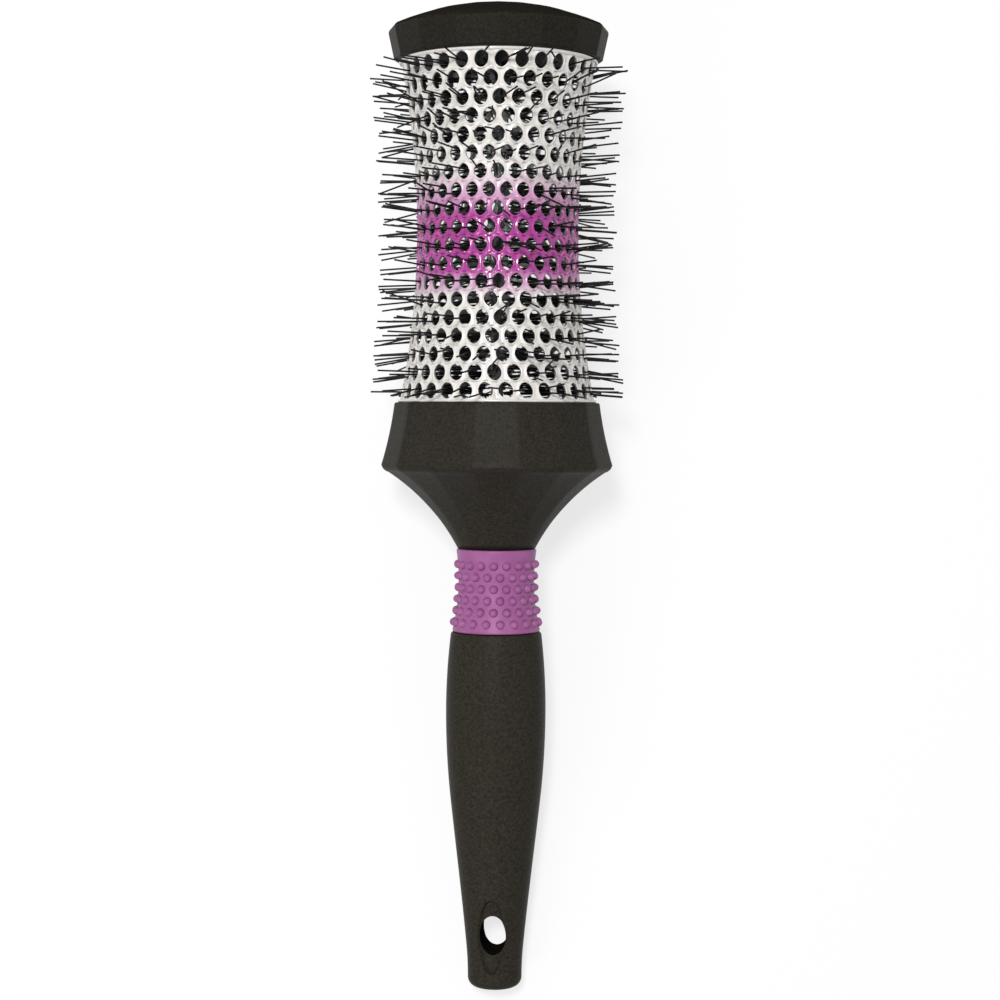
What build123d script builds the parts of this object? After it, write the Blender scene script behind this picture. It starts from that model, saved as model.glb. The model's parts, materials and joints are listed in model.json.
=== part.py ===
from build123d import *
import math
import os

# Round barrel hair brush, lying at rest on its bristles and the butt of its handle.
#
# Every piece is drawn about one brush axis. "Height" and every name ending in _z is a
# distance along that axis from the butt. place() then lays the finished pieces down:
# head towards +Y, +Z up, the surface the brush lies on at z = 0.

# ------------------------------------------------------------------ driving dimensions, mm
# lengths along the axis, from the butt to the crown
handle_length = 97.3
sleeve_length = 23.0
shoulder_height = 39.9
barrel_length = 93.7
cap_height = 15.7

# perforated metal barrel
barrel_end_radius = 26.6
barrel_waist_radius = 22.0
barrel_wall = 0.8
rim_radius = 27.4
rim_thickness = 0.8

# perforation: staggered rings of pointed holes, counted out from the waist ring
rings_each_side = 9
ring_pitch = 4.86
holes_per_ring = 30
hole_height = 4.5
hole_angle = 8.8
rings_per_band = 3

# nylon filaments
filaments_per_ring = 15
filament_size = 0.5
tip_radius_at_cap = 36.4
tip_radius_at_waist = 33.0
tip_radius_at_shoulder = 35.3
root_gap = 0.15

# twisted-in-wire core
wire_side = 1.3
wire_helix_radius = 1.0
wire_lay = 16.0
wire_steps_per_turn = 8
wire_end_gap = 0.5

# faceted cap on the head and faceted shoulder below it
facets = 16
cap_rim_radius = 28.7
cap_wide_radius = 30.4
cap_wide_height = 8.1
cap_edge_height = 8.9
cap_edge_inset = 0.5
dome_tiers = 5
cap_wall = 2.0
shoulder_top_radius = 28.0
shoulder_wide_radius = 31.5
shoulder_wide_drop = 17.0
shoulder_corner = 2.4
shoulder_neck_radius = 10.7
shoulder_sweep_bulge = 1.6
shoulder_wall = 2.2
shoulder_socket_depth = 8.0

# hubs that close the barrel's two ends and hold the wire core
hub_sides = 24
hub_plate = 1.6
hub_step = 1.0
hub_boss_radius = 4.2
plug_boss_height = 2.4
seat_boss_height = 7.0
wire_socket_depth = 6.0

# rubber neck sleeve with moulded nubs
sleeve_bottom_radius = 12.2
sleeve_waist_radius = 10.4
sleeve_waist_z = 15.5
sleeve_top_radius = 11.1
sleeve_sides = 32
sleeve_tiers = 7
nub_rings = 6
nubs_per_ring = 16
nub_pitch = 3.18
nub_first_z = 2.7
nub_size = 2.4
nub_top_size = 1.1
nub_height = 1.25
sleeve_turn = -4.0

# handle with the neck core that the sleeve sits on
butt_radius = 7.4
butt_round = 2.6
heel_radius = 7.8
heel_z = 11.0
flank_radius = 12.3
flank_z = 51.0
grip_radius = 13.7
grip_z = 76.0
grip_top_radius = 12.4
neck_core_radius = 8.2
spigot_radius = 7.0
spigot_length = 12.0
grip_tiers = 6
butt_tiers = 3

# hanging hole near the butt, turned a little from the shoulder's front flat
hang_z = 15.2
hang_width = 6.8
hang_height = 10.8
hang_turn = -5.0
leaf_z = 13.8
leaf_width = 7.2
leaf_length = 20.0
leaf_depth = 0.9

# running clearance between pieces that plug into one another
fit = 0.1

# ------------------------------------------------------------------ stations on the axis
sleeve_z = handle_length
shoulder_z = sleeve_z + sleeve_length
barrel_z = shoulder_z + shoulder_height
cap_z = barrel_z + barrel_length
crown_z = cap_z + cap_height
waist_z = barrel_z + barrel_length / 2

half_barrel = barrel_length / 2
waist_sag = barrel_end_radius - barrel_waist_radius
waist_arc = (half_barrel**2 + waist_sag**2) / (2 * waist_sag)
bore_at_end = barrel_end_radius - barrel_wall
mouth_radius = shoulder_top_radius - shoulder_wall
hole_step = 360 / holes_per_ring
facet_step = 360 / facets
wire_bend = math.cos(math.pi / wire_steps_per_turn)
wire_reach = wire_helix_radius + wire_side * math.sqrt(0.5) / wire_bend
socket_radius = wire_reach + 2 * fit
rows = range(-rings_each_side, rings_each_side + 1)


def turned(*lines):
    """Solid turned about the axis from a closed outline drawn as (radius, height)."""
    outline = Wire([edge for line in lines for edge in line.edges()])
    return revolve(Plane.XZ * make_face(outline), Axis.Z)


def stepped(arc, tiers):
    """Straight runs from end to end of an arc, which turn into a stack of cones."""
    return Polyline(*[arc @ (tier / tiers) for tier in range(tiers + 1)])


def facing(angle):
    """Turn a piece drawn at the front (-Y) round the axis, towards +X."""
    return Rot(0, 0, angle)


def polygon(radius, z, sides=facets, turn=0.0, across_flats=False):
    """Regular outline at a height, by its corner radius or by the radius of its flats."""
    outline = RegularPolygon(radius, sides, major_radius=not across_flats, rotation=turn)
    return Pos(0, 0, z) * outline


def disc(radius, z_low, z_high):
    """Many-sided disc of a hidden hub between two heights."""
    return extrude(polygon(radius, z_low, hub_sides), z_high - z_low)


def spoke(angle, radius, z):
    """Point at an angle from the front, a radius and a height."""
    turn = math.radians(angle)
    return Vector(radius * math.sin(turn), -radius * math.cos(turn), z)


def flat(*points):
    """Flat face through corner points."""
    return Face(Wire.make_polygon(points, close=True))


def tower(levels, sides=facets, turn=0.0):
    """Solid with flat sides through many-sided rings given as (corner radius, height)."""
    angles = [turn + 360 / sides * index for index in range(sides)]
    walls = [
        flat(spoke(a, *low), spoke(b, *low), spoke(b, *high), spoke(a, *high))
        for low, high in zip(levels, levels[1:])
        for a, b in zip(angles, angles[1:] + [angles[0] + 360])
    ]
    ends = [flat(*[spoke(angle, *level) for angle in angles]) for level in (levels[0], levels[-1])]
    return Solid(Shell(walls + ends))


# ------------------------------------------------------------------ barrel
def barrel_radius(offset):
    """Outside radius of the hourglass at a distance from its waist."""
    return barrel_waist_radius + waist_arc - math.sqrt(waist_arc**2 - offset**2)


rim_low = half_barrel - rim_thickness
step_radius = barrel_radius(half_barrel - hub_step) - barrel_wall - fit
side_step = hole_step / 2
sides_round = 2 * holes_per_ring


def hole_direction(row, index):
    """Angle of a hole from the front; every second ring is half a step round."""
    return hole_step * (index + 0.5 * ((row + rings_each_side) % 2))


def band_levels():
    """Heights from the waist where the flat staves of the wall bend to follow the hourglass."""
    bends = [rings_per_band * (band + 0.5) for band in range(rings_each_side // rings_per_band + 1)]
    upper = [ring_pitch * bend for bend in bends if bend < rings_each_side] + [rim_low]
    return [-level for level in reversed(upper)] + upper


def wall_point(angle, share, z, low, high, inset):
    """Point on a stave: share of the way round from one of its edges to the next."""
    rise = (z - low) / (high - low)
    radius = (1 - rise) * barrel_radius(low) + rise * barrel_radius(high)
    near = spoke(angle, radius, z)
    far = spoke(angle + math.copysign(side_step, share), radius, z)
    across = near + (far - near) * abs(share)
    return across - spoke(angle, inset, 0)


def hole_corners(angle, row, low, high, inset):
    """The four corners of a pointed hole: top, right, bottom, left."""
    z = row * ring_pitch
    share = hole_angle / 2 / side_step
    places = [(0, z + hole_height / 2), (share, z), (0, z - hole_height / 2), (-share, z)]
    return [wall_point(angle, part, height, low, high, inset) for part, height in places]


def band_rows(low, high):
    return [row for row in rows if low < row * ring_pitch < high]


def hole_on_edge(side, row):
    """Whether a ring has its holes on this edge between staves."""
    return (side + row + rings_each_side) % 2 == 0


def stave(side, low, high, inset):
    """One flat stave of the wall, notched on both edges by half of each hole there."""
    left, right = side_step * side, side_step * (side + 1)
    outline = [wall_point(left, 0, low, low, high, inset), wall_point(right, 0, low, low, high, inset)]
    for row in band_rows(low, high):
        if hole_on_edge(side + 1, row):
            top, _, bottom, near = hole_corners(right, row, low, high, inset)
            outline += [bottom, near, top]
    outline += [wall_point(right, 0, high, low, high, inset), wall_point(left, 0, high, low, high, inset)]
    for row in reversed(band_rows(low, high)):
        if hole_on_edge(side, row):
            top, near, bottom, _ = hole_corners(left, row, low, high, inset)
            outline += [top, near, bottom]
    return flat(*outline)


def hole_walls(side, row, low, high):
    """Four flat cheeks of a hole, square through the wall."""
    outer = hole_corners(side_step * side, row, low, high, 0)
    inner = hole_corners(side_step * side, row, low, high, barrel_wall)
    order = [0, 1, 2, 3, 0]
    return [flat(outer[a], outer[b], inner[b], inner[a]) for a, b in zip(order, order[1:])]


def ring_face(outer_radius, inner_radius, z):
    """Flat ring between two many-sided outlines."""
    wires = [
        Wire.make_polygon([spoke(side_step * side, radius, z) for side in range(sides_round)], close=True)
        for radius in (outer_radius, inner_radius)
    ]
    return Face(wires[0], [wires[1]])


def rim_faces(end):
    """Turned-out rim at one end of the barrel: end is 1 at the cap and -1 at the shoulder."""
    edge_radius = barrel_radius(rim_low)
    bore = edge_radius - barrel_wall
    low, high = end * rim_low, end * half_barrel
    faces = [ring_face(rim_radius, edge_radius, low), ring_face(rim_radius, bore, high)]
    for radius in (rim_radius, bore):
        for side in range(sides_round):
            a, b = side_step * side, side_step * (side + 1)
            faces.append(flat(spoke(a, radius, low), spoke(b, radius, low), spoke(b, radius, high), spoke(a, radius, high)))
    return faces


def make_barrel():
    """Punched wall of flat staves, two to a hole, with a rim at each end."""
    levels = band_levels()
    faces = rim_faces(1) + rim_faces(-1)
    for low, high in zip(levels, levels[1:]):
        for side in range(sides_round):
            faces += [stave(side, low, high, 0), stave(side, low, high, barrel_wall)]
            for row in band_rows(low, high):
                if hole_on_edge(side, row):
                    faces += hole_walls(side, row, low, high)
    return Pos(0, 0, waist_z) * Solid(Shell(faces))


# ------------------------------------------------------------------ bristles
def tip_radius(row):
    """Reach of the filament tips from the axis, least at the waist."""
    end = tip_radius_at_cap if row > 0 else tip_radius_at_shoulder
    return tip_radius_at_waist + (end - tip_radius_at_waist) * (row / rings_each_side) ** 2


def make_bristle_row(row):
    """Filaments through every second hole of a ring, from the wire core to the tips."""
    root = wire_reach + root_gap
    section = Plane.XZ.offset(root) * RegularPolygon(filament_size * 0.6, 3)
    filament = extrude(section, tip_radius(row) - root)
    skip = holes_per_ring // filaments_per_ring
    shift = (row + rings_each_side) // 2 % skip
    level = Pos(0, 0, waist_z + row * ring_pitch)
    return Compound([
        level * facing(hole_direction(row, skip * index + shift)) * filament
        for index in range(filaments_per_ring)
    ])


# ------------------------------------------------------------------ wire core
def make_wire(phase):
    """One of the two strands: square wire led round the axis in short straight bends."""
    low = barrel_z - wire_socket_depth + wire_end_gap
    high = cap_z + hub_plate - wire_end_gap
    steps = max(2, round((high - low) / wire_lay * wire_steps_per_turn))
    points = []
    for step in range(steps + 1):
        turn = math.radians(phase + 360 * step / wire_steps_per_turn)
        x = wire_helix_radius * math.cos(turn)
        y = wire_helix_radius * math.sin(turn)
        points.append((x, y, low + (high - low) * step / steps))
    path = Polyline(*points)
    section = Plane(origin=path @ 0, z_dir=path % 0) * Rectangle(wire_side, wire_side)
    return sweep(section, path=path, transition=Transition.RIGHT)


# ------------------------------------------------------------------ cap end of the barrel
def make_tip_cap():
    """Faceted cap: the side flats widen to the edge and a shallow dome closes the top."""
    wide_z = cap_z + cap_wide_height
    edge_z = cap_z + cap_edge_height
    edge_radius = cap_wide_radius - cap_edge_inset
    rise = crown_z - edge_z
    dome_radius = (edge_radius**2 + rise**2) / (2 * rise)
    dome_half_angle = math.asin(edge_radius / dome_radius)
    levels = [(cap_rim_radius, cap_z), (cap_wide_radius, wide_z)]
    for tier in range(dome_tiers):
        lean = dome_half_angle * (1 - tier / dome_tiers)
        levels.append((dome_radius * math.sin(lean), crown_z - dome_radius * (1 - math.cos(lean))))
    levels.append((dome_radius * math.sin(lean / 2), crown_z))
    seat = disc(rim_radius + fit, cap_z, cap_z + hub_plate)
    hollow = disc(rim_radius - cap_wall, cap_z, wide_z)
    return tower(levels) - seat - hollow


def make_tip_plug():
    """Plate on the barrel's upper rim, stepped into the bore, with the wire's socket."""
    plate = disc(rim_radius, cap_z, cap_z + hub_plate)
    step = disc(step_radius, cap_z - hub_step, cap_z)
    boss = disc(hub_boss_radius, cap_z - plug_boss_height, cap_z)
    socket = disc(socket_radius, cap_z - plug_boss_height, cap_z + hub_plate)
    return plate + step + boss - socket


# ------------------------------------------------------------------ shoulder end of the barrel
def make_barrel_seat():
    """Plate in the shoulder's mouth, stepped up into the bore, with the wire's socket."""
    plate = disc(mouth_radius - fit, barrel_z - hub_plate, barrel_z)
    step = disc(step_radius, barrel_z, barrel_z + hub_step)
    boss = disc(hub_boss_radius, barrel_z - seat_boss_height, barrel_z)
    socket = disc(socket_radius, barrel_z - wire_socket_depth, barrel_z + hub_step)
    return plate + step + boss - socket


def shoulder_outline():
    """Closed half outline of the shoulder across its flats, as (radius, height)."""
    wide_z = barrel_z - shoulder_wide_drop
    foot = Vector(shoulder_neck_radius, shoulder_z)
    bend = Vector(shoulder_wide_radius - shoulder_corner, wide_z - shoulder_corner)
    sweep_dir = (bend - foot).normalized()
    hollow = (foot + bend) / 2 + Vector(-sweep_dir.Y, sweep_dir.X) * shoulder_sweep_bulge
    wide = Vector(shoulder_wide_radius, wide_z)
    round_off = (bend + wide) / 2 + Vector(0.15, -0.15) * shoulder_corner
    top = Vector(shoulder_top_radius, barrel_z)
    return Wire([
        Line((0, shoulder_z), foot),
        ThreePointArc(foot, hollow, bend),
        ThreePointArc(bend, round_off, wide),
        Line(wide, top),
        Line(top, (0, barrel_z)),
        Line((0, barrel_z), (0, shoulder_z)),
    ])


def make_shoulder():
    """Hollow faceted trumpet: one flat with its curved foot, repeated round the axis."""
    half_width = shoulder_wide_radius * math.tan(math.radians(facet_step / 2))
    front_half = Plane(origin=(0, 0, 0), x_dir=(0, -1, 0), z_dir=(-1, 0, 0))
    slab = extrude(front_half * make_face(shoulder_outline()), half_width, both=True)
    spread = 2 * shoulder_wide_radius
    slice_face = Polyline((0, 0), (-half_width * 2, -spread), (half_width * 2, -spread), close=True)
    wedge = Pos(0, 0, shoulder_z) * extrude(make_face(slice_face), shoulder_height)
    panel = slab & wedge
    panels = [facing(facet_step * index) * panel for index in range(facets)]
    body = panels[0] + panels[1:]

    wide_z = barrel_z - shoulder_wide_drop
    floor_z = shoulder_z + shoulder_socket_depth
    corner = 1 / math.cos(math.radians(facet_step / 2))
    room = tower(
        [
            (corner * (spigot_radius + shoulder_wall), floor_z),
            (corner * (shoulder_wide_radius - 2 * shoulder_wall), wide_z),
            (corner * mouth_radius, barrel_z - hub_plate),
        ],
        turn=facet_step / 2,
    )
    mouth = disc(mouth_radius, barrel_z - hub_plate, barrel_z)
    socket = Pos(0, 0, shoulder_z) * extrude(Circle(spigot_radius + fit), shoulder_socket_depth)
    return body - room - mouth - socket


# ------------------------------------------------------------------ neck sleeve
def make_neck_sleeve():
    """Waisted rubber tube stretched on the neck, with staggered rings of nubs."""
    foot = (sleeve_bottom_radius, sleeve_z)
    waist = (sleeve_waist_radius, sleeve_z + sleeve_waist_z)
    side = ThreePointArc(foot, waist, (sleeve_top_radius, shoulder_z))
    levels = [tuple(side @ (tier / sleeve_tiers))[:2] for tier in range(sleeve_tiers + 1)]
    bore = Pos(0, 0, sleeve_z) * extrude(Circle(neck_core_radius), sleeve_length)
    nub = Rot(90, 0, 0) * tower([(nub_size / 2 + nub_height / 4, -nub_height), (nub_top_size / 2, nub_height)], 4)
    nubs = []
    for ring in range(nub_rings):
        height = nub_first_z + ring * nub_pitch
        along = Line((0, sleeve_z + height), (2 * sleeve_bottom_radius, sleeve_z + height))
        surface = side.intersect(along).vertices()[0].X
        turn = sleeve_turn + 180 / nubs_per_ring * ((ring + 1) % 2)
        for index in range(nubs_per_ring):
            place = Pos(0, -surface, sleeve_z + height)
            nubs.append(facing(turn + 360 / nubs_per_ring * index) * place * nub)
    return tower(levels, sleeve_sides) - bore + nubs


# ------------------------------------------------------------------ handle
def leaf_outline():
    """Pointed leaf: two equal arcs between its tips."""
    tip, side = leaf_length / 2, leaf_width / 2
    return make_face(Wire([
        ThreePointArc((0, tip), (side, 0), (0, -tip)),
        ThreePointArc((0, -tip), (-side, 0), (0, tip)),
    ]))


def make_handle():
    """Turned handle with its neck core and spigot, dished and pierced for hanging."""
    butt_flat = butt_radius - butt_round
    butt_side = (butt_radius, butt_round)
    heel = (heel_radius, heel_z)
    flank = (flank_radius, flank_z)
    grip = (grip_radius, grip_z)
    shoulder_of_grip = (grip_top_radius, handle_length)
    spigot_z = shoulder_z + spigot_length
    butt_corner = butt_round * math.sqrt(0.5)
    butt_bend = (butt_flat + butt_corner, butt_round - butt_corner)
    body = turned(
        Line((0, 0), (butt_flat, 0)),
        stepped(ThreePointArc((butt_flat, 0), butt_bend, butt_side), butt_tiers),
        stepped(TangentArc(butt_side, heel, tangent=(0, 1)), butt_tiers),
        Line(heel, flank),
        stepped(TangentArc(grip, flank, tangent=(0, -1)), grip_tiers),
        stepped(TangentArc(grip, shoulder_of_grip, tangent=(0, 1)), butt_tiers),
        Line(shoulder_of_grip, (neck_core_radius, handle_length)),
        Line((neck_core_radius, handle_length), (neck_core_radius, shoulder_z)),
        Line((neck_core_radius, shoulder_z), (spigot_radius, shoulder_z)),
        Line((spigot_radius, shoulder_z), (spigot_radius, spigot_z)),
        Line((spigot_radius, spigot_z), (0, spigot_z)),
        Line((0, spigot_z), (0, 0)),
    )
    floor = butt_radius - leaf_depth
    front = Plane(origin=(0, -floor, leaf_z), x_dir=(1, 0, 0), z_dir=(0, -1, 0))
    dish = extrude(front * leaf_outline(), grip_radius)
    through = Plane(origin=(0, 0, hang_z), x_dir=(0, 0, 1), z_dir=(0, -1, 0))
    hole = extrude(through * SlotOverall(hang_height, hang_width), grip_radius, both=True)
    cuts = [facing(hang_turn) * dish, facing(hang_turn + 180) * dish, facing(hang_turn) * hole]
    return body - cuts


# ------------------------------------------------------------------ lying at rest
def tilt_on(z, reach):
    """Rise of the axis when the butt and a point this far below the axis both touch."""
    run = z - butt_round
    rise = reach - (butt_radius - butt_round)
    return math.degrees(math.atan2(rise, run) - math.asin(butt_round / math.hypot(rise, run)))


def resting_tilt():
    """The brush rests on its butt and on the shoulder's edge or the last ring of bristles."""
    tip_spread = math.cos(math.radians(180 / filaments_per_ring))
    tips = tilt_on(waist_z - rings_each_side * ring_pitch, tip_radius(-rings_each_side) * tip_spread)
    shoulder = tilt_on(barrel_z - shoulder_wide_drop, shoulder_wide_radius)
    return max(tips, shoulder)


def lay_down(pieces):
    """Lay the brush on z = 0, head towards +Y, with the origin below the middle."""
    lying = Rot(resting_tilt() - 90, 0, 0)
    laid = {name: lying * piece for name, piece in pieces.items()}
    outermost = ("bristle", "handle", "shoulder", "tip_cap")
    box = Compound([laid[name] for name in laid if name.startswith(outermost)]).bounding_box()
    shift = Pos(0, -box.center().Y, -box.min.Z)
    return {name: shift * piece for name, piece in laid.items()}


def make_brush():
    pieces = {
        "tip_cap": make_tip_cap(),
        "tip_plug": make_tip_plug(),
        "barrel": make_barrel(),
        "core_wire_a": make_wire(0),
        "core_wire_b": make_wire(180),
        "barrel_seat": make_barrel_seat(),
        "shoulder": make_shoulder(),
        "neck_sleeve": make_neck_sleeve(),
        "handle": make_handle(),
    }
    for row in rows:
        pieces[f"bristle_row_{rings_each_side + 1 - row:02d}"] = make_bristle_row(row)
    return lay_down(pieces)


os.makedirs("parts", exist_ok=True)
for name, piece in make_brush().items():
    export_step(piece, f"parts/{name}.step")
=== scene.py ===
"""Round barrel brush, lying on its butt and the edge of its shoulder, dressed for the render."""
import json
import math
import random

import bmesh
import bpy
from mathutils import Matrix, Vector


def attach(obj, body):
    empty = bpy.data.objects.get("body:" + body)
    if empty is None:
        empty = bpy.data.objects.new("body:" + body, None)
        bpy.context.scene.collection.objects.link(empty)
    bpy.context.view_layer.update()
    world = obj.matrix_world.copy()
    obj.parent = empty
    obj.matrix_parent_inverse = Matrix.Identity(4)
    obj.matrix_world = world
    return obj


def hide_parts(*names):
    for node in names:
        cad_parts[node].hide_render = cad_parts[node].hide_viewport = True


MM = 0.001


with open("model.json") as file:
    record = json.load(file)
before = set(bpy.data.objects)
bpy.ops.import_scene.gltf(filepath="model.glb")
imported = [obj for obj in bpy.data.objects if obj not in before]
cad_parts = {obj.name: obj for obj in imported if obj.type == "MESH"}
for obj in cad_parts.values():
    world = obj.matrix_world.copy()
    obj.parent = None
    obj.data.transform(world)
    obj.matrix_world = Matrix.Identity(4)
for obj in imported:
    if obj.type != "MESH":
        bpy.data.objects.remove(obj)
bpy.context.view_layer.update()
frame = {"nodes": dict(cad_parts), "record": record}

# ------------------------------------------------------------------ sizes, mm
# heights are distances from the butt along the brush's axis
sleeve_z = 97.3
shoulder_z = 120.3
barrel_z = 160.2
waist_z = 207.05
cap_z = 253.9
crown_z = 269.5

# barrel: an hourglass with a rim turned out at each end
end_radius = 26.6
waist_radius = 22.0
barrel_wall = 0.8
rim_radius = 27.4
rim_thickness = 0.8
bead_steps = 4

# its rings of holes, which are smaller and more pointed towards the waist
rings_each_side = 9
ring_pitch = 4.86
holes_per_ring = 30
hole_width, waist_hole_width = 3.8, 3.35
hole_length, waist_hole_length = 4.36, 4.12
hole_point, waist_hole_point = 1.1, 1.5  # 1 is an oval, more is drawn to a point at top and bottom
hole_growth = 1.3  # power by which holes grow from the waist to the ends
width_scatter = (-0.05, 0.04)
length_scatter = (-0.03, 0.02)
point_scatter = (-0.1, 0.2)
lean_scatter = (-6, 6)  # degrees
ring_creep, creep_growth = -0.18, 0.044  # degrees a ring by which the holes creep round

# section through a hole's edge, from the skin inwards: (growth of the hole, depth below the skin)
hem_width = 0.42
hem_rise = 0.22
hem_length, hem_length_pointed = 0.8, 0.35  # a pointed hole's hem is wider at its tips
hem_section = [
    (hem_width, -0.02),
    (hem_width * 0.6, -hem_rise * 0.9),
    (hem_width * 0.15, -hem_rise * 0.6),
    (0, 0.12),
    (0, barrel_wall * 0.75),
    (0.14, barrel_wall),
]
coated_bands = 4  # of the bands between skin, section and bore; the others are bare metal

# bristles: where they go
filament_radius = 0.25
filament_sides = 5
tip_radius_cap = 36.3
tip_radius_waist = 33.0
tip_radius_shoulder = 35.2
tip_growth = 1.5  # power by which the tips reach out from the waist to the ends
end_clearance_shoulder, end_clearance_cap = 1.2, 0.5
widest = 36.15
lowest = 0.4
highest = 84.2

# bristles: how they scatter, in mm along the brush and degrees round it
filaments_in_hole = (0, 1, 1, 1, 1, 1, 2, 2)
holes_in_tuft = (2, 3, 3, 4)
gather = (-0.8, 0.7)  # share of the way to the tuft's middle, below 0 away from it
tuft_lean_round, tuft_lean_along = 2.0, 0.6
end_lean = 0.8  # of the end rings, away from the waist
root_radii = (3, 6)
root_scatter_round, root_scatter_along = 11, 1.6
gate_scatter_round, gate_scatter_along = 2, 1.1
gate_depth = 0.4
tip_scatter_round, tip_scatter_along = 1.8, 0.7
stray_share, stray_factor = 0.07, 3.0
shortfall = 1.5
bow = 0.25

# cap: (radius, height above cap_z) of its corners
facets = 16
cap_foot = (27.5, 0.02)
cap_rim = (28.7, 0.3)
cap_wide = (30.4, 8.1)
cap_edge = (29.9, 8.9)
cap_wall_tiers = 4
dome_tiers = 8
cap_bevel, cap_bevel_angle = 0.45, 9
shaded_dome_facing = 0.5  # faces that look at least this much along the brush get the dome's darker finish, which is painted shade

# shoulder: radii across its flats
shoulder_top = 28.0
shoulder_wide = 31.5
shoulder_wide_drop = 17.0
shoulder_neck = 10.7
shoulder_bulge = 1.8
shoulder_corner = 2.0
shoulder_round = 0.4
shoulder_hollow = 0.35
shoulder_edge = 0.3
sweep_tiers, corner_tiers, wall_tiers = 16, 5, 8
corner_gap = 0.9  # degrees between a corner and the columns beside it
fade_start, fade_length = 1, 11  # heights over which the round neck turns into flats

# neck sleeve: radii at its bottom, waist and top
sleeve_bottom = 12.2
sleeve_waist = 10.4
sleeve_top = 11.1
sleeve_waist_height = 15.5
sleeve_columns, sleeve_tiers = 128, 60
lip_drop, lip_height = 0.3, 0.45
sleeve_turn = -4.0
seam = 0.22
neck_core = 8.2
core_gap = 0.1

# its nubs: (radius, rise above the sleeve) from the foot up
nub_rings = 6
nubs_per_ring = 19
nub_pitch = 3.18
nub_first_z = 2.7
nub_sides = 14
nub_section = [(1.32, -0.12), (1.12, 0.1), (1.05, 0.42), (0.9, 0.75), (0.62, 1.02), (0.3, 1.18)]
nub_top = 1.24

# handle: (height, radius, slope) of the turned profile above the rounded butt
butt_radius = 7.4
butt_round = 2.6
butt_tiers = 8
handle_top = 97.3
flank_slope = 0.113
grip_stations = [
    (butt_round, butt_radius, 0.0),
    (11.0, 7.8, 0.85 * flank_slope),
    (51.0, 12.3, flank_slope),
    (76.0, 13.7, 0.0),
    (handle_top, 12.4, -0.12),
]
handle_columns = 240
fine_tier, fine_top = 0.25, 27  # close tiers as far up as the dish needs them
coarse_tier, coarse_tiers = 1.2, 58
top_gap = 0.05
top_drop, top_height = 0.35, 0.6  # rounding at the handle's top
top_tiers = (0.6, 0.35, 0.12, 0.0)

# hanging hole, and the leaf-shaped dish that it goes through
hang_z = 15.2
hang_width = 7.2
hang_height = 10.9
hang_turn = -5.0
hang_steps = 64
hang_tolerance = 0.02  # share by which a face of the hole's wall may be off the oval
crease_angle = 32
leaf_z = 14.9
leaf_side = -0.3
leaf_width = 7.8
leaf_length = 20.4
leaf_depth = 1.3
leaf_wall = 0.35
leaf_power = 1.9

# camera, worked out from how the brush fills the picture
camera_height = 155.5
camera_distance = 600.0
camera_roll = 0.24  # degrees
lens = 78.5
shift = (0.003, -0.08)

# studio, in metres and watts
fill_strength = 0.26
floor_whiteness = 0.76
floor_reach = 1.6
light_target = (0, 0, 0.03)
lights = [
    ("key", (-0.13, 0.13, 1.2), (0.18, 0.22), 10.6),
    ("head_strip", (-0.12, 0.95, 0.7), (0.5, 0.12), 1.3),
    ("low_fill", (-0.55, -0.8, 0.7), (0.4, 0.4), 2.0),
]

rng = random.Random(23)

# ------------------------------------------------------------------ the brush's own frame
# the hanging hole's mount gives the axis: local z runs from butt to crown, -y is the front
hole_axis = Vector(frame["record"]["mounts"][0]["axis"])
hole_centre = Vector(frame["record"]["mounts"][0]["pos_m"])
along = Vector((0, hole_axis.z, -hole_axis.y)).normalized()
side = Vector((1, 0, 0))
back = along.cross(side)
to_frame = Matrix(
    (
        (side.x, back.x, along.x, 0),
        (side.y, back.y, along.y, 0),
        (side.z, back.z, along.z, 0),
        (0, 0, 0, 1),
    )
)
to_frame.translation = hole_centre - hang_z * MM * along


def spoke(angle, radius, z):
    """Point in metres at an angle from the front (degrees, towards +X), a radius and a height in mm."""
    turn = math.radians(angle)
    return Vector((radius * math.sin(turn), -radius * math.cos(turn), z)) * MM


# ------------------------------------------------------------------ meshes
def add_row(points, row):
    """Adds a row of points and gives back their numbers."""
    start = len(points)
    points += row
    return list(range(start, len(points)))


def add_circle(points, count, radius, z):
    """Adds a level circle of points round the brush's axis and gives back their numbers."""
    return add_row(points, [spoke(360 / count * i, radius, z) for i in range(count)])


def quads_between(lower, upper):
    """Faces between two closed rows of the same length."""
    count = len(lower)
    return [(lower[i], lower[(i + 1) % count], upper[(i + 1) % count], upper[i]) for i in range(count)]


def skin(rows):
    """Faces from each row to the next."""
    return [face for lower, upper in zip(rows, rows[1:]) for face in quads_between(lower, upper)]


def fan(row, top):
    """Faces from a closed row to one point."""
    return [(row[i], row[(i + 1) % len(row)], top) for i in range(len(row))]


def mesh_from(name, points, faces):
    mesh = bpy.data.meshes.new(name)
    mesh.from_pydata(points, [], faces)
    mesh.validate()
    mesh.update()
    return mesh


def outward(mesh):
    """The mesh with all its faces turned outwards."""
    work = bmesh.new()
    work.from_mesh(mesh)
    bmesh.ops.recalc_face_normals(work, faces=work.faces[:])
    work.to_mesh(mesh)
    work.free()
    return mesh


def new_piece(name, mesh, material, replaced):
    """Object laid down with the brush, with its finish, riding on the brush."""
    mesh.transform(to_frame)
    piece = bpy.data.objects.new(name, mesh)
    bpy.context.scene.collection.objects.link(piece)
    mesh.materials.append(material)
    for polygon in mesh.polygons:
        polygon.use_smooth = True
    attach(piece, "root")
    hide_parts(replaced)
    return piece


def give_second_finish(piece, material, chosen):
    """The polygons with the chosen numbers get a second finish."""
    piece.data.materials.append(material)
    for number in chosen:
        piece.data.polygons[number].material_index = 1


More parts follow.
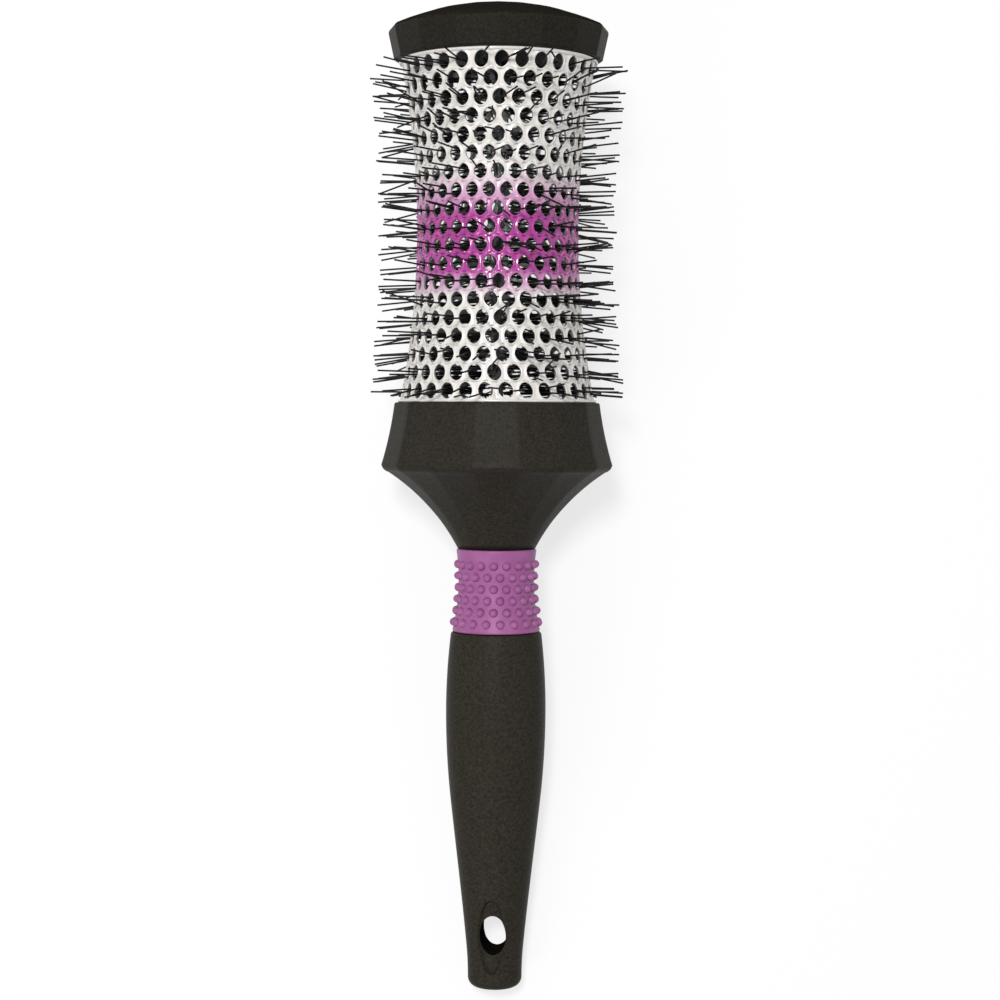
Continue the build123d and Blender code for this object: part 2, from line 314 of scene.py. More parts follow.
# ------------------------------------------------------------------ materials
def shader_material(name, settings):
    """New material, with constants set on its shader's sockets."""
    material = bpy.data.materials.new(name)
    material.use_nodes = True
    nodes = material.node_tree.nodes
    shader = nodes["Principled BSDF"]
    for socket, value in settings.items():
        shader.inputs[socket].default_value = value
    return material, nodes, material.node_tree.links, shader


def object_coordinates(nodes):
    return nodes.new("ShaderNodeTexCoord").outputs["Object"]


def noise(nodes, links, coordinates, scale, detail=3.0, roughness=0.5):
    node = nodes.new("ShaderNodeTexNoise")
    node.inputs["Scale"].default_value = scale
    node.inputs["Detail"].default_value = detail
    node.inputs["Roughness"].default_value = roughness
    links.new(coordinates, node.inputs["Vector"])
    return node.outputs["Fac"]


def ramp(nodes, links, source, stops):
    node = nodes.new("ShaderNodeValToRGB")
    elements = node.color_ramp.elements
    while len(elements) < len(stops):
        elements.new(0.5)
    for element, (position, colour) in zip(elements, stops):
        element.position = position
        element.color = (*colour, 1)
    links.new(source, node.inputs["Fac"])
    return node.outputs["Color"]


def two_tone(nodes, links, source, dark, light, shader, low=0.3, high=0.7):
    """Base colour that goes from dark to light as the source goes from low to high."""
    tone = ramp(nodes, links, source, [(low, dark), (high, light)])
    links.new(tone, shader.inputs["Base Color"])


def bump(nodes, links, height, strength, shader, distance=0.0001):
    node = nodes.new("ShaderNodeBump")
    node.inputs["Strength"].default_value = strength
    node.inputs["Distance"].default_value = distance
    links.new(height, node.inputs["Height"])
    links.new(node.outputs["Normal"], shader.inputs["Normal"])


def shade(colour, factor):
    return tuple(factor * channel for channel in colour)


def soft_touch(name, colour, spread, roughness, gloss):
    """Matt rubbery lacquer: a fine grain over a faint cloudy mottle."""
    mottle, patches, grain = 1300, 900, 2600
    material, nodes, links, shader = shader_material(name, {"Specular IOR Level": gloss})
    where = object_coordinates(nodes)
    clouds = noise(nodes, links, where, mottle, 6, 0.8)
    dark, light = shade(colour, 1 - spread), shade(colour, 1 + spread)
    two_tone(nodes, links, clouds, dark, light, shader, 0.36, 0.64)
    rough = nodes.new("ShaderNodeMapRange")
    rough.inputs["To Min"].default_value = roughness - 0.05
    rough.inputs["To Max"].default_value = roughness + 0.07
    links.new(noise(nodes, links, where, patches, 2), rough.inputs["Value"])
    links.new(rough.outputs["Result"], shader.inputs["Roughness"])
    bump(nodes, links, noise(nodes, links, where, grain, 2), 0.3, shader)
    return material


def coat_material():
    """Pearly ceramic coat with a blurred magenta band near the waist."""
    pearl, blush, magenta = (0.76, 0.725, 0.69), (0.63, 0.36, 0.54), (0.4, 0.017, 0.27)
    band_low, band_high, ripple_height = 0.185, 0.225, 0.003  # metres from the butt
    settings = {"Roughness": 0.28, "Coat Weight": 0.7, "Coat Roughness": 0.07}
    material, nodes, links, shader = shader_material("barrel_coat", settings)
    where = object_coordinates(nodes)
    reach = nodes.new("ShaderNodeVectorMath")
    reach.operation = "DOT_PRODUCT"
    reach.inputs[1].default_value = along
    links.new(where, reach.inputs[0])
    ripple = nodes.new("ShaderNodeMath")
    ripple.operation = "MULTIPLY_ADD"
    ripple.inputs[1].default_value = ripple_height
    links.new(noise(nodes, links, where, 260, 2), ripple.inputs[0])
    links.new(reach.outputs["Value"], ripple.inputs[2])
    height = nodes.new("ShaderNodeMapRange")
    butt = along.dot(to_frame.translation)
    height.inputs["From Min"].default_value = butt + band_low
    height.inputs["From Max"].default_value = butt + band_high
    links.new(ripple.outputs[0], height.inputs["Value"])
    band = [
        (0.12, pearl),
        (0.2, blush),
        (0.3, magenta),
        (0.66, magenta),
        (0.82, blush),
        (0.97, pearl),
    ]
    links.new(ramp(nodes, links, height.outputs["Result"], band), shader.inputs["Base Color"])
    bump(nodes, links, noise(nodes, links, where, 1500, 2), 0.06, shader)
    return material


def bare_metal():
    """Aluminium of the barrel, drawn along the brush, inside the holes."""
    settings = {"Metallic": 0.6, "Roughness": 0.45}
    material, nodes, links, shader = shader_material("bare_aluminium", settings)
    drawn = nodes.new("ShaderNodeMapping")
    drawn.inputs["Scale"].default_value = (1, 1, 0.05)
    links.new(object_coordinates(nodes), drawn.inputs["Vector"])
    streaks = noise(nodes, links, drawn.outputs["Vector"], 1800, 3)
    two_tone(nodes, links, streaks, (0.33, 0.325, 0.32), (0.52, 0.51, 0.5), shader)
    bump(nodes, links, streaks, 0.15, shader)
    return material


def rubber(name, factor):
    """Matt purple rubber, at a share of its full colour; a share below 1 is painted shade."""
    settings = {"Roughness": 0.42, "Specular IOR Level": 0.14}
    material, nodes, links, shader = shader_material(name, settings)
    where = object_coordinates(nodes)
    clouds = noise(nodes, links, where, 240, 3)
    dark, light = shade((0.315, 0.1, 0.262), factor), shade((0.38, 0.13, 0.318), factor)
    two_tone(nodes, links, clouds, dark, light, shader)
    bump(nodes, links, noise(nodes, links, where, 1700, 2), 0.1, shader)
    return material


def nylon():
    """Black, faintly glossy filaments."""
    settings = {"Roughness": 0.45, "Specular IOR Level": 0.15}
    material, nodes, links, shader = shader_material("bristle_nylon", settings)
    where = object_coordinates(nodes)
    tint = noise(nodes, links, where, 700, 2)
    dark, light = (0.004, 0.0035, 0.004), (0.011, 0.0095, 0.01)
    two_tone(nodes, links, tint, dark, light, shader, high=0.75)
    bump(nodes, links, noise(nodes, links, where, 5000, 1), 0.05, shader, distance=0.00005)
    return material


def galvanised():
    """Dull grey wire of the bristle core."""
    settings = {"Metallic": 1.0, "Roughness": 0.35}
    material, nodes, links, shader = shader_material("core_wire", settings)
    spangle = noise(nodes, links, object_coordinates(nodes), 600, 3)
    two_tone(nodes, links, spangle, (0.05, 0.05, 0.052), (0.16, 0.16, 0.165), shader)
    bump(nodes, links, spangle, 0.1, shader)
    return material


def background_rays(nodes, links):
    """1 for the rays that show a background: to the camera, in a reflection or through glass."""
    path = nodes.new("ShaderNodeLightPath")
    either = path.outputs["Is Camera Ray"]
    for kind in ("Is Glossy Ray", "Is Transmission Ray"):
        larger = nodes.new("ShaderNodeMath")
        larger.operation = "MAXIMUM"
        links.new(either, larger.inputs[0])
        links.new(path.outputs[kind], larger.inputs[1])
        either = larger.outputs[0]
    return either


def floor_material():
    """White studio floor: nearly as bright to the camera as the backdrop, with a faint shadow."""
    settings = {"Roughness": 0.9, "Specular IOR Level": 0.1}
    material, nodes, links, shader = shader_material("studio_floor", settings)
    tone = noise(nodes, links, object_coordinates(nodes), 4, 2)
    two_tone(nodes, links, tone, (0.93,) * 3, (0.95,) * 3, shader, 0.0, 1.0)
    white = nodes.new("ShaderNodeEmission")
    white.inputs["Strength"].default_value = 1.0
    seen = nodes.new("ShaderNodeMath")
    seen.operation = "MULTIPLY"
    seen.inputs[1].default_value = floor_whiteness
    links.new(background_rays(nodes, links), seen.inputs[0])
    mix = nodes.new("ShaderNodeMixShader")
    links.new(seen.outputs[0], mix.inputs["Fac"])
    links.new(shader.outputs["BSDF"], mix.inputs[1])
    links.new(white.outputs["Emission"], mix.inputs[2])
    links.new(mix.outputs["Shader"], nodes["Material Output"].inputs["Surface"])
    return material


# soft-touch plastics: colour, spread of its mottle, roughness and gloss
brown = (0.026, 0.023, 0.0178)
hub_grey = (0.03, 0.03, 0.032)
# the cap: a darker copy of the shoulder's brown, which is painted shade
shaded_cap_finish = soft_touch("soft_touch_cap_painted_shade", shade(brown, 0.72), 0.45, 0.46, 0.04)
# the dome: a still darker copy of the brown, which is painted shade on the cap's top
painted_shade_dome_finish = soft_touch("soft_touch_dome_painted_shade", shade(brown, 0.66), 0.4, 0.7, 0.0)
# the hang hole's wall: a darker copy of the brown, which is painted shade in the hole
painted_shade_bore_finish = soft_touch("hang_hole_wall_painted_shade", shade(brown, 0.45), 0.3, 0.7, 0.0)
shoulder_finish = soft_touch("soft_touch_shoulder", brown, 0.45, 0.46, 0.045)
# the handle: a lighter copy of the shoulder's brown, which is painted light
lit_handle_finish = soft_touch("soft_touch_handle_painted_light", shade(brown, 1.15), 0.45, 0.4, 0.025)
hub_finish = soft_touch("hub_plastic", hub_grey, 0.1, 0.4, 0.06)
coat_finish = coat_material()
metal_finish = bare_metal()
sleeve_finish = rubber("sleeve_rubber", 1.0)
# half as bright purple for the nubs' feet: painted shade in the creases
painted_crease_shade_finish = rubber("sleeve_painted_crease_shade", 0.5)
nylon_finish = nylon()
wire_finish = galvanised()


# ------------------------------------------------------------------ barrel
half_barrel = (cap_z - barrel_z) / 2
rim_low = half_barrel - rim_thickness
sag = end_radius - waist_radius
waist_arc = (half_barrel**2 + sag**2) / (2 * sag)
hole_step = 360 / holes_per_ring
cell_half = 4  # columns or levels from a cell's middle to its edge
cell_width = 2 * cell_half


def barrel_radius(offset):
    """Outside radius of the hourglass at a distance from its waist."""
    return waist_radius + waist_arc - math.sqrt(waist_arc**2 - offset**2)


def half_turn(row):
    """Every second ring of holes is half a step round."""
    return 0.5 * ((row + rings_each_side) % 2)


def pattern_turn(offset):
    """Degrees by which the rings of holes creep round, at a distance from the waist."""
    rings = offset / ring_pitch
    return ring_creep * rings + creep_growth * rings**2


def wall_point(angle, offset, depth):
    """Point at a depth below the barrel's skin, at a distance from the waist."""
    return spoke(angle + pattern_turn(offset), barrel_radius(offset) - depth, waist_z + offset)


def cell_outline():
    """Edge of a cell as (column, level) from its middle, going round from the top middle."""
    top = [(column, cell_half) for column in range(cell_half)]
    right = [(cell_half, level) for level in range(cell_half, -cell_half, -1)]
    bottom = [(column, -cell_half) for column in range(cell_half, -cell_half, -1)]
    left = [(-cell_half, level) for level in range(-cell_half, cell_half)]
    rest = [(column, cell_half) for column in range(-cell_half, 0)]
    return top + right + bottom + left + rest


def cell_border(vertex, row, index, depth):
    """Points on a cell's edge at a depth, which it shares with its neighbours."""
    middle = row * ring_pitch
    low = middle - ring_pitch / 2 if row > -rings_each_side else -rim_low
    high = middle + ring_pitch / 2 if row < rings_each_side else rim_low
    centre = index + half_turn(row)
    border = []
    for column, level in cell_outline():
        reach = high - middle if level > 0 else middle - low
        offset = middle + level * reach / cell_half
        angle = centre * hole_step + column * hole_step / cell_width
        place = (round(centre * cell_width) + column) % (holes_per_ring * cell_width)
        line = row * cell_width + level
        border.append(vertex((depth, place, line), wall_point(angle, offset, depth)))
    return border


def draw_hole(row):
    """Width, length, pointedness and lean of one hole, a little off those of its ring."""
    growth = (abs(row) / rings_each_side) ** hole_growth
    width = waist_hole_width + (hole_width - waist_hole_width) * growth
    length = waist_hole_length + (hole_length - waist_hole_length) * growth
    pointed = waist_hole_point + (hole_point - waist_hole_point) * growth
    return (
        width * (1 + rng.uniform(*width_scatter)),
        length * (1 + rng.uniform(*length_scatter)),
        pointed + rng.uniform(*point_scatter),
        math.radians(rng.uniform(*lean_scatter)),
    )


def hole_loop(mesh, row, index, hole, grow, depth):
    """Points round a hole, grown by so much and sunk by so much."""
    width, length, pointed, lean = hole
    half_width = width / 2 + grow
    half_length = length / 2 + grow * (hem_length + hem_length_pointed * pointed)
    middle = row * ring_pitch
    centre = (index + half_turn(row)) * hole_step
    loop = []
    for column, level in cell_outline():
        turn = math.atan2(column, level)
        across = half_width * math.copysign(abs(math.sin(turn)) ** pointed, math.sin(turn))
        up = half_length * math.cos(turn)
        x = across * math.cos(lean) + up * math.sin(lean)
        offset = middle + up * math.cos(lean) - across * math.sin(lean)
        angle = centre + math.degrees(x / barrel_radius(middle))
        loop.append(mesh.verts.new(wall_point(angle, offset, depth)))
    return loop


def join_loops(mesh, loops, coated):
    """Faces from each loop to the next, bare metal after so many coated bands."""
    for band, (outer, inner) in enumerate(zip(loops, loops[1:])):
        for i in range(len(outer)):
            j = (i + 1) % len(outer)
            face = mesh.faces.new((outer[i], outer[j], inner[j], inner[i]))
            face.material_index = 0 if band < coated else 1


def rim_section():
    """(radius, distance from the waist) round the rim's bead to the bore."""
    bead = rim_thickness / 2
    # its first ring of points is doubled, which keeps the underside's shading apart from the bead's
    section = [(rim_radius - bead, rim_low)]
    for step in range(bead_steps + 1):
        turn = math.radians(-90 + 180 / bead_steps * step)
        radius = rim_radius - bead + bead * math.cos(turn)
        section.append((radius, rim_low + bead + bead * math.sin(turn)))
    return section + [(barrel_radius(rim_low) - barrel_wall, half_barrel)]


def make_barrel():
    """Wall of cells, one to a hole: each hole has a rounded, raised hem and a bare metal inside."""
    mesh = bmesh.new()
    shared = {}

    def vertex(key, point):
        if key not in shared:
            shared[key] = mesh.verts.new(point)
        return shared[key]

    for row in range(-rings_each_side, rings_each_side + 1):
        for index in range(holes_per_ring):
            hole = draw_hole(row)
            loops = [cell_border(vertex, row, index, 0)]
            loops += [hole_loop(mesh, row, index, hole, *place) for place in hem_section]
            loops.append(cell_border(vertex, row, index, barrel_wall))
            join_loops(mesh, loops, coated_bands)
    columns = range(holes_per_ring * cell_width)
    for end in (1, -1):
        line = end * (rings_each_side * cell_width + cell_half)
        loops = [[shared[(0, column, line)] for column in columns]]
        for radius, offset in rim_section():
            angles = [column * hole_step / cell_width for column in columns]
            loops.append([mesh.verts.new(spoke(angle, radius, waist_z + end * offset)) for angle in angles])
        loops.append([shared[(barrel_wall, column, line)] for column in columns])
        join_loops(mesh, loops, len(loops))
    bmesh.ops.recalc_face_normals(mesh, faces=mesh.faces[:])
    data = bpy.data.meshes.new("barrel_shell")
    mesh.to_mesh(data)
    mesh.free()
    bare = [polygon.index for polygon in data.polygons if polygon.material_index == 1]
    piece = new_piece("barrel_shell", data, coat_finish, "barrel")
    give_second_finish(piece, metal_finish, bare)


# ------------------------------------------------------------------ bristles
def tip_reach(offset):
    """Radius of the bristle tips at a distance from the waist."""
    end = tip_radius_cap if offset > 0 else tip_radius_shoulder
    share = abs(offset) / (rings_each_side * ring_pitch)
    return tip_radius_waist + (end - tip_radius_waist) * share**tip_growth


def floor_gap(point):
    """Height above the floor of a point given in the brush's frame, in metres."""
    return (to_frame @ point).z


def add_filament(points, faces, path):
    """Thin rod along a path, blunt at its tip."""
    rows = []
    for number, centre in enumerate(path):
        ahead = path[min(number + 1, len(path) - 1)] - path[max(number - 1, 0)]
        ahead.normalize()
        across = ahead.cross(Vector((0, 0, 1))).normalized()
        other = ahead.cross(across)
        turns = [2 * math.pi * i / filament_sides for i in range(filament_sides)]
        spokes = [across * math.cos(turn) + other * math.sin(turn) for turn in turns]
        rows.append(add_row(points, [centre + out * filament_radius * MM for out in spokes]))
    faces += skin(rows)
    faces.append(tuple(rows[-1]))


def keep_in_bounds(gate, tip):
    """The tip, drawn back along its filament where it would pass one of the brush's limits."""
    if abs(tip.x) > widest * MM:
        tip = gate + (tip - gate) * (widest * MM - abs(gate.x)) / (abs(tip.x) - abs(gate.x))
    start, end = floor_gap(gate), floor_gap(tip)
    limit = min(max(end, lowest * MM), highest * MM)
    if limit != end:
        tip = gate + (tip - gate) * (limit - start) / (end - start)
    return tip


def make_tuft(row, holes, points, faces):
    """Filaments of a few neighbouring holes, which lean together and partly cross."""
    middle = row * ring_pitch
    start = half_turn(row) * hole_step + pattern_turn(middle)
    centre = start + sum(holes) / len(holes) * hole_step
    draw = rng.uniform(*gather)
    lean_round = rng.gauss(0, tuft_lean_round)
    lean_along = rng.gauss(0, tuft_lean_along) + end_lean * row / rings_each_side
    for hole in holes:
        for _ in range(rng.choice(filaments_in_hole)):
            # where it leaves through the hole, and where it comes from in the core
            gate_angle = start + hole * hole_step + rng.uniform(-gate_scatter_round, gate_scatter_round)
            gate_offset = middle + rng.uniform(-gate_scatter_along, gate_scatter_along)
            gate_z = waist_z + gate_offset
            root_angle = gate_angle + rng.gauss(0, root_scatter_round)
            root = spoke(root_angle, rng.uniform(*root_radii), gate_z + rng.gauss(0, root_scatter_along))
            gate = spoke(gate_angle, barrel_radius(gate_offset) - gate_depth, gate_z)
            # its tip
            stray = stray_factor if rng.random() < stray_share else 1.0
            tip_angle = gate_angle + (centre - gate_angle) * draw + lean_round
            tip_angle += rng.gauss(0, tip_scatter_round) * stray
            tip_z = gate_z + (middle - gate_offset) * draw + lean_along
            tip_z += rng.gauss(0, tip_scatter_along) * stray
            tip_z = min(max(tip_z, barrel_z + end_clearance_shoulder), cap_z - end_clearance_cap)
            tip = spoke(tip_angle, tip_reach(gate_offset) - rng.uniform(0, shortfall), tip_z)
            tip = keep_in_bounds(gate, tip)
            bend = spoke(tip_angle + 90, rng.uniform(-bow, bow), 0)
            add_filament(points, faces, [root, (root + gate) / 2, gate, (gate + tip) / 2 + bend, tip])


def make_bristle_row(row):
    """One ring of filaments, which leave the wire core in tufts through the holes."""
    number = rings_each_side + 1 - row
    points, faces = [], []
    hole = 0
    while hole < holes_per_ring:
        reach = min(rng.choice(holes_in_tuft), holes_per_ring - hole)
        make_tuft(row, range(hole, hole + reach), points, faces)
        hole += reach
    data = mesh_from(f"filaments_{number:02d}", points, faces)
    new_piece(data.name, data, nylon_finish, f"bristle_row_{number:02d}")


# ------------------------------------------------------------------ faceted cap and shoulder
def cap_profile():
    """(corner radius, height) from the foot over the flaring walls and up the dome."""
    levels = [cap_foot, cap_rim]
    for tier in range(1, cap_wall_tiers + 1):
        share = tier / cap_wall_tiers
        levels.append([low + (high - low) * share for low, high in zip(cap_rim, cap_wide)])
    edge_radius, edge_height = cap_edge
    rise = crown_z - cap_z - edge_height
    dome = (edge_radius**2 + rise**2) / (2 * rise)
    reach = math.asin(edge_radius / dome)
    for tier in range(dome_tiers):
        tilt = reach * (1 - tier / dome_tiers)
        levels.append((dome * math.sin(tilt), crown_z - cap_z - dome * (1 - math.cos(tilt))))
    return [(radius, cap_z + height) for radius, height in levels]


def make_cap():
    """Sixteen-sided cap whose facets run up over its dome, with softened edges between them."""
    points = []
    rows = [add_circle(points, facets, radius, z) for radius, z in cap_profile()]
    crown = add_row(points, [spoke(0, 0, crown_z)])[0]
    faces = skin(rows) + [tuple(rows[0])] + fan(rows[-1], crown)
    mesh = outward(mesh_from("cap_shell", points, faces))
    piece = new_piece("cap_shell", mesh, shaded_cap_finish, "tip_cap")
    # the faces of the dome get the darker copy of the brown: painted shade
    dome = [polygon.index for polygon in mesh.polygons if polygon.normal.dot(along) > shaded_dome_facing]
    give_second_finish(piece, painted_shade_dome_finish, dome)
    bevel = piece.modifiers.new("soft_edges", "BEVEL")
    bevel.width = cap_bevel * MM
    bevel.segments = 3
    bevel.limit_method = "ANGLE"
    bevel.angle_limit = math.radians(cap_bevel_angle)
    bevel.harden_normals = True
    bevel.miter_outer = "MITER_ARC"


def arc(start, finish, sag, tiers):
    """Points on a shallow arc from one point towards another, sinking by sag to the left of the run."""
    chord = finish - start
    normal = Vector((-chord.y, chord.x)).normalized()
    shares = [tier / tiers for tier in range(tiers)]
    return [start + chord * share + normal * sag * 4 * share * (1 - share) for share in shares]


def shoulder_profile():
    """(across-flats radius, height) from the neck up to the top edge."""
    wide_z = barrel_z - shoulder_wide_drop
    foot = Vector((shoulder_neck, shoulder_z))
    bend = Vector((shoulder_wide - shoulder_corner, wide_z - shoulder_corner))
    wide = Vector((shoulder_wide, wide_z))
    top = Vector((shoulder_top, barrel_z - shoulder_edge))
    edge = Vector((shoulder_top - shoulder_edge, barrel_z))
    sweep = arc(foot, bend, shoulder_bulge, sweep_tiers)
    corner = arc(bend, wide, -shoulder_round, corner_tiers)
    wall = arc(wide, top, shoulder_hollow, wall_tiers)
    return sweep + corner + wall + [top, edge]


def flat_columns():
    """Angles round the shoulder: a few on each flat and none on its corners, which stay soft."""
    reach = 180 / facets
    offsets = [-reach + corner_gap, -reach / 2, 0, reach / 2, reach - corner_gap]
    return [(360 / facets * flat + offset, offset) for flat in range(facets) for offset in offsets]


def make_shoulder():
    """Sixteen flats that flare to the edge and fade into the round neck."""
    points, rows = [], []
    for radius, z in shoulder_profile():
        flatness = min(1.0, max(0.0, (z - shoulder_z - fade_start) / fade_length))
        row = []
        for angle, offset in flat_columns():
            corner = radius / math.cos(math.radians(offset))
            row.append(spoke(angle, radius + (corner - radius) * flatness, z))
        rows.append(add_row(points, row))
    faces = skin(rows) + [tuple(rows[0]), tuple(rows[-1])]
    mesh = outward(mesh_from("shoulder_shell", points, faces))
    piece = new_piece("shoulder_shell", mesh, shoulder_finish, "shoulder")
    # the flats shade flat, and the soft edges between them round
    piece.modifiers.new("flat_shading", "WEIGHTED_NORMAL").weight = 80


# ------------------------------------------------------------------ neck sleeve
def sleeve_radius(height):
    """Radius of the waisted tube at a height above its bottom: a parabola through three places."""
    places = [(0, sleeve_bottom), (sleeve_waist_height, sleeve_waist), (shoulder_z - sleeve_z, sleeve_top)]
    total = 0
    for at, radius in places:
        for other, _ in places:
            if other != at:
                radius *= (height - other) / (at - other)
        total += radius
    return total


def add_nub(points, faces, angle, height):
    """Round-topped nub with a small fillet at its foot. Gives back the fillet's face numbers."""
    base = sleeve_radius(height)
    centre = spoke(angle, base, sleeve_z + height)
    out = spoke(angle, 1, 0).normalized()
    right = spoke(angle + 90, 1, 0).normalized()
    up = Vector((0, 0, 1))
    rows = []
    for spread, rise in nub_section:
        row = []
        for i in range(nub_sides):
            turn = 2 * math.pi * i / nub_sides
            across = spread * math.cos(turn)
            sink = base - base * math.cos(math.asin(min(1, abs(across) / base)))
            row.append(centre + (right * across + up * math.sin(turn) * spread + out * (rise - sink)) * MM)
        rows.append(add_row(points, row))
    top = add_row(points, [centre + out * nub_top * MM])[0]
    foot = range(len(faces), len(faces) + nub_sides)
    faces += skin(rows) + fan(rows[-1], top)
    return foot


def make_sleeve():
    """Waisted rubber tube with rings of nubs, with painted shade, a darker purple, in the creases round
    their feet.
    """
    length = shoulder_z - sleeve_z - 2 * seam
    bore = neck_core + core_gap
    section = [(bore, 0.0)]
    for tier in range(sleeve_tiers + 1):
        height = length * tier / sleeve_tiers
        lip = lip_drop * max(0.0, 1 - min(height, length - height) / lip_height) ** 2
        section.append((sleeve_radius(height + seam) - lip, height))
    section.append((bore, length))
    points, creases = [], []
    foot_z = sleeve_z + seam
    rows = [add_circle(points, sleeve_columns, radius, foot_z + height) for radius, height in section]
    faces = skin(rows + rows[:1])
    nub_step = 360 / nubs_per_ring
    for ring in range(nub_rings):
        height = nub_first_z + ring * nub_pitch
        turn = sleeve_turn + nub_step / 2 * ((ring + 1) % 2)
        for index in range(nubs_per_ring):
            creases += add_nub(points, faces, turn + nub_step * index, height)
    mesh = mesh_from("sleeve_skin", points, faces)
    piece = new_piece("sleeve_skin", mesh, sleeve_finish, "neck_sleeve")
    # the fillets round the nubs' feet get the darker purple: painted shade
    give_second_finish(piece, painted_crease_shade_finish, creases)


# ------------------------------------------------------------------ handle
def handle_radius(z):
    """Smooth taper of the grip: round butt, slim heel, full grip, drawn in at the sleeve."""
    if z < butt_round:
        rise = butt_round - z
        return butt_radius - butt_round + math.sqrt(max(0.0, butt_round**2 - rise**2))
    for (z0, r0, m0), (z1, r1, m1) in zip(grip_stations, grip_stations[1:]):
        if z <= z1:
            break
    span = z1 - z0
    t = (z - z0) / span
    return (
        (2 * t**3 - 3 * t**2 + 1) * r0
        + (t**3 - 2 * t**2 + t) * span * m0
        + (3 * t**2 - 2 * t**3) * r1
        + (t**3 - t**2) * span * m1
    )


def leaf_depth_at(across, z):
    """How deep the leaf-shaped dish is at a place on the handle, front or back, 0 outside it."""
    reach = (z - leaf_z) / (leaf_length / 2)
    if abs(reach) >= 1:
        return 0.0
    half_width = leaf_width / 2 * math.sqrt(1 - abs(reach) ** leaf_power)
    inside = (half_width - abs(across - leaf_side)) / leaf_wall
    return leaf_depth * min(1.0, max(0.0, inside))


def handle_heights():
    """Heights of the handle's rows of points: close together at the butt, the dish and the top."""
    turns = [math.radians(90 * tier / butt_tiers) for tier in range(butt_tiers + 1)]
    heights = [butt_round * (1 - math.cos(turn)) for turn in turns]
    fine_tiers = int((fine_top - butt_round) / fine_tier)
    heights += [butt_round + fine_tier * tier for tier in range(1, fine_tiers)]
    heights += [fine_top + coarse_tier * tier for tier in range(coarse_tiers)]
    return heights + [handle_top - top_gap - drop for drop in top_tiers]


def make_handle():
    """Turned grip, dished front and back, with the hanging hole through the dish."""
    points, rows = [], []
    top = handle_top - top_gap
    for z in handle_heights():
        radius = handle_radius(z) - top_drop * max(0.0, 1 - (top - z) / top_height) ** 2
        row = []
        for column in range(handle_columns):
            angle = 360 / handle_columns * column
            across = radius * math.sin(math.radians(angle - hang_turn))
            row.append(spoke(angle, radius - leaf_depth_at(across, z), z))
        rows.append(add_row(points, row))
    core = [add_circle(points, handle_columns, neck_core, z) for z in (top, shoulder_z - core_gap)]
    faces = skin(rows + core) + [tuple(rows[0]), tuple(core[-1])]
    mesh = outward(mesh_from("handle_grip", points, faces))
    piece = new_piece("handle_grip", mesh, lit_handle_finish, "handle")
    cut_hang_hole(piece)


def make_cutter(placement):
    """Oval bar that takes the hanging hole out of the butt."""
    reach = 12
    points, rows = [], []
    for depth in (-reach, reach):
        turns = [2 * math.pi * step / hang_steps for step in range(hang_steps)]
        places = [(hang_width / 2 * math.cos(turn), hang_height / 2 * math.sin(turn)) for turn in turns]
        rows.append(add_row(points, [Vector((x, depth, hang_z + up)) * MM for x, up in places]))
    faces = skin(rows) + [tuple(row) for row in rows]
    mesh = outward(mesh_from("hang_hole_cutter", points, faces))
    cutter = bpy.data.objects.new("hang_hole_cutter", mesh)
    bpy.context.scene.collection.objects.link(cutter)
    cutter.matrix_world = placement
    bpy.context.view_layer.update()
    return cutter


def cut_hang_hole(piece):
    """Oval hole straight through the butt, with a darker finish on its wall, which is painted shade."""
    placement = to_frame @ Matrix.Rotation(math.radians(hang_turn), 4, "Z")
    cutter = make_cutter(placement)
    cut = piece.modifiers.new("hang_hole", "BOOLEAN")
    cut.operation = "DIFFERENCE"
    cut.object = cutter
    cut.solver = "EXACT"
    bpy.context.view_layer.objects.active = piece
    with bpy.context.temp_override(object=piece, active_object=piece):
        bpy.ops.object.modifier_apply(modifier=cut.name)
    bpy.data.objects.remove(cutter)
    to_hole = placement.inverted()
    wall = []
    for polygon in piece.data.polygons:
        polygon.use_smooth = True
        place = to_hole @ polygon.center / MM
        # 1 on the oval itself
        oval = (2 * place.x / hang_width) ** 2 + (2 * (place.z - hang_z) / hang_height) ** 2
        if abs(oval - 1) < hang_tolerance:
            wall.append(polygon.index)
    # the wall of the hole gets the darker brown: painted shade
    give_second_finish(piece, painted_shade_bore_finish, wall)
    piece.data.set_sharp_from_angle(angle=math.radians(crease_angle))


# ------------------------------------------------------------------ build the brush
make_barrel()
for row in range(-rings_each_side, rings_each_side + 1):
    make_bristle_row(row)
make_cap()
make_shoulder()
make_sleeve()
make_handle()

for node, finish in {
    "tip_plug": hub_finish,
    "barrel_seat": hub_finish,
    "core_wire_a": wire_finish,
    "core_wire_b": wire_finish,
}.items():
    frame["nodes"][node].data.materials.clear()
    frame["nodes"][node].data.materials.append(finish)


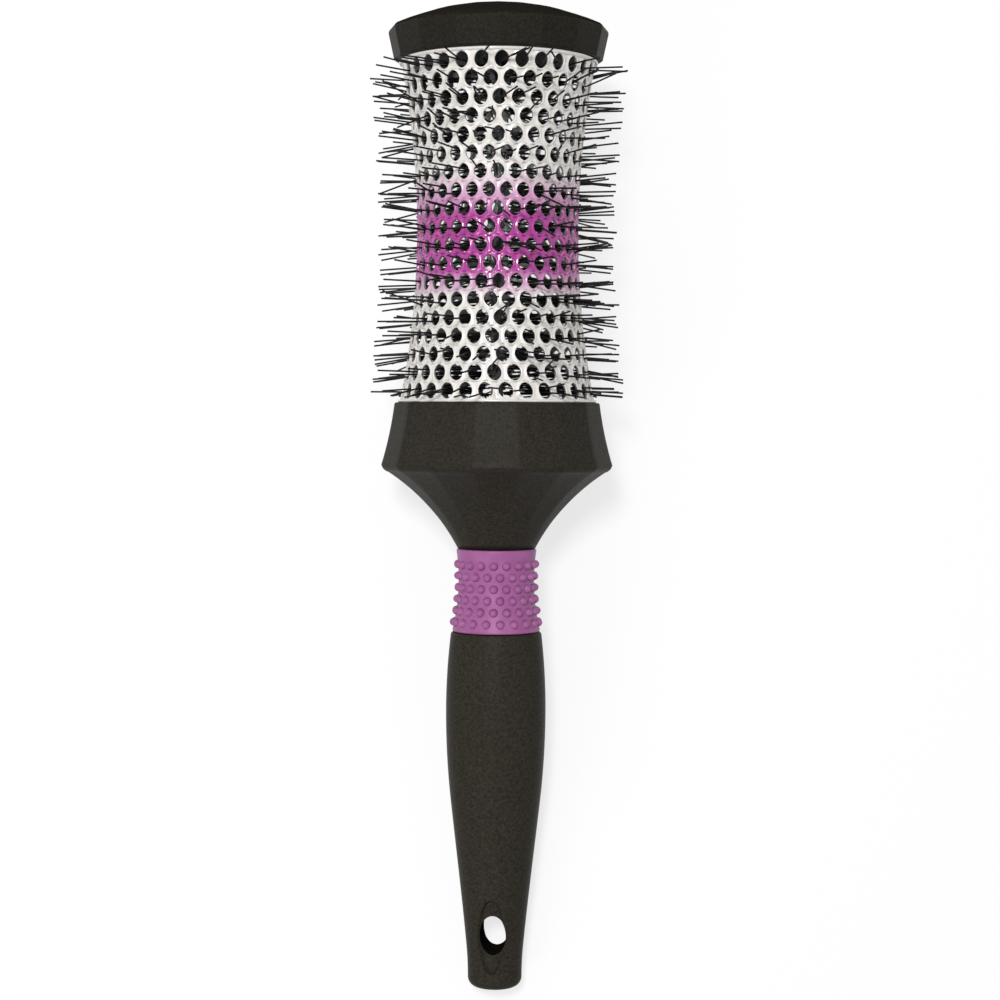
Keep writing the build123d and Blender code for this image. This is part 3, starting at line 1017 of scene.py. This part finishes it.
# ------------------------------------------------------------------ studio
def make_floor():
    points = [Vector((x, y, 0)) * floor_reach for x, y in ((-1, -1), (1, -1), (1, 1), (-1, 1))]
    mesh = mesh_from("studio_floor", points, [(0, 1, 2, 3)])
    floor = bpy.data.objects.new("studio_floor", mesh)
    bpy.context.scene.collection.objects.link(floor)
    mesh.materials.append(floor_material())


def add_light(name, place, size, power):
    """Rectangular lamp that faces the brush."""
    data = bpy.data.lights.new(name, "AREA")
    data.shape = "RECTANGLE"
    data.size, data.size_y = size
    data.energy = power
    lamp = bpy.data.objects.new(name, data)
    bpy.context.scene.collection.objects.link(lamp)
    lamp.location = place
    lamp.rotation_euler = (Vector(light_target) - Vector(place)).to_track_quat("-Z", "Y").to_euler()


def make_world():
    """White where a background shows, and a softer grey as a light."""
    world = bpy.data.worlds.new("studio")
    bpy.context.scene.world = world
    world.use_nodes = True
    nodes, links = world.node_tree.nodes, world.node_tree.links
    seen = nodes["Background"]
    seen.inputs["Color"].default_value = (1, 1, 1, 1)
    seen.inputs["Strength"].default_value = 1.0
    fill = nodes.new("ShaderNodeBackground")
    fill.inputs["Color"].default_value = (1, 1, 1, 1)
    fill.inputs["Strength"].default_value = fill_strength
    mix = nodes.new("ShaderNodeMixShader")
    links.new(background_rays(nodes, links), mix.inputs["Fac"])
    links.new(fill.outputs["Background"], mix.inputs[1])
    links.new(seen.outputs["Background"], mix.inputs[2])
    links.new(mix.outputs["Shader"], nodes["World Output"].inputs["Surface"])


def make_camera():
    """Square on to the brush's front, upright along the brush but for a slight roll."""
    front = -back
    target = to_frame @ Vector((0, 0, camera_height * MM))
    data = bpy.data.cameras.new("camera")
    data.sensor_width = 36
    data.lens = lens
    data.shift_x, data.shift_y = shift
    data.clip_start = 0.01
    data.clip_end = 20
    camera = bpy.data.objects.new("camera", data)
    bpy.context.scene.collection.objects.link(camera)
    up = Matrix.Rotation(math.radians(camera_roll), 3, front) @ along
    right = up.cross(front)
    turn = Matrix((right, up, front)).transposed()
    camera.matrix_world = Matrix.Translation(target + front * camera_distance * MM) @ turn.to_4x4()
    bpy.context.scene.camera = camera


make_floor()
make_world()
make_camera()
for light in lights:
    add_light(*light)
bpy.context.scene.view_settings.view_transform = "Standard"
